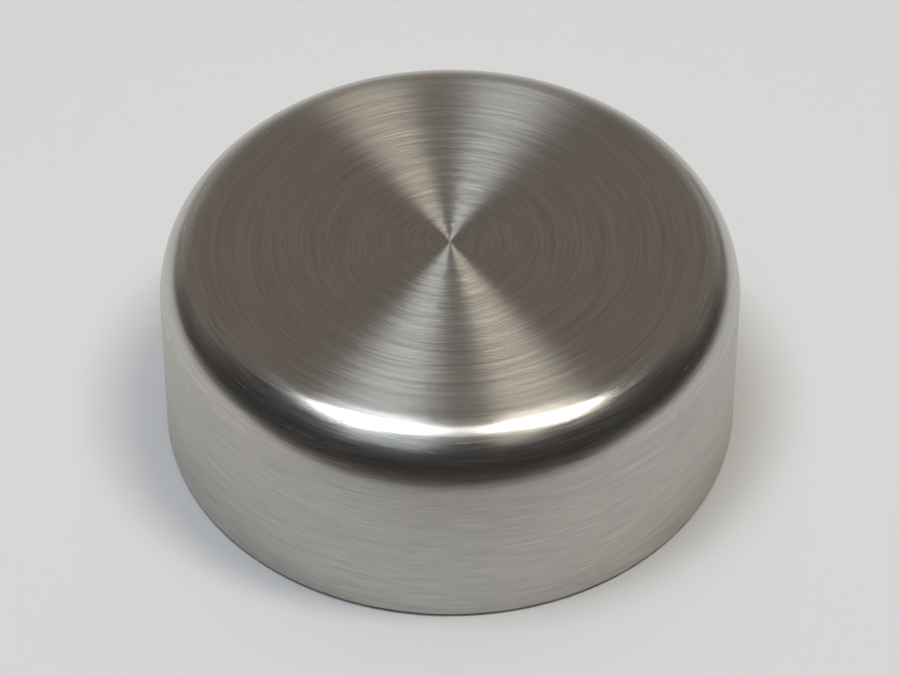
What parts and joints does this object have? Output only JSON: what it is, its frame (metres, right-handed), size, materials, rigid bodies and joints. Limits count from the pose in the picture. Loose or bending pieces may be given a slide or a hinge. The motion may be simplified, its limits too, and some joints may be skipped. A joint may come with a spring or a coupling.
{
  "type": "pipe end cap",
  "caption": "Low round stainless cap with a rounded top edge; slips over a pipe's end, with rubber rings and a seat gasket inside its bore.",
  "frame": {"origin": "centre of the rim, on the plane that the cap stands on", "axes": "+Z along the cap's own axis, from the open rim to the closed crown; X and Y are any pair across it, since the cap is round"},
  "size_m": [0.04, 0.04, 0.016],
  "materials": {
    "stainless": "lathe-turned crown and brushed skirt, satin-polished top edge",
    "ring_rubber": "smooth moulded nitrile rubber, faint sheen",
    "gasket_rubber": "matt sheet rubber, punched to shape"
  },
  "bodies": {
    "root": {"cap_body": "stainless", "mouth_o_ring": "ring_rubber", "inner_o_ring": "ring_rubber", "seat_gasket": "gasket_rubber"}
  },
  "joints": []
}
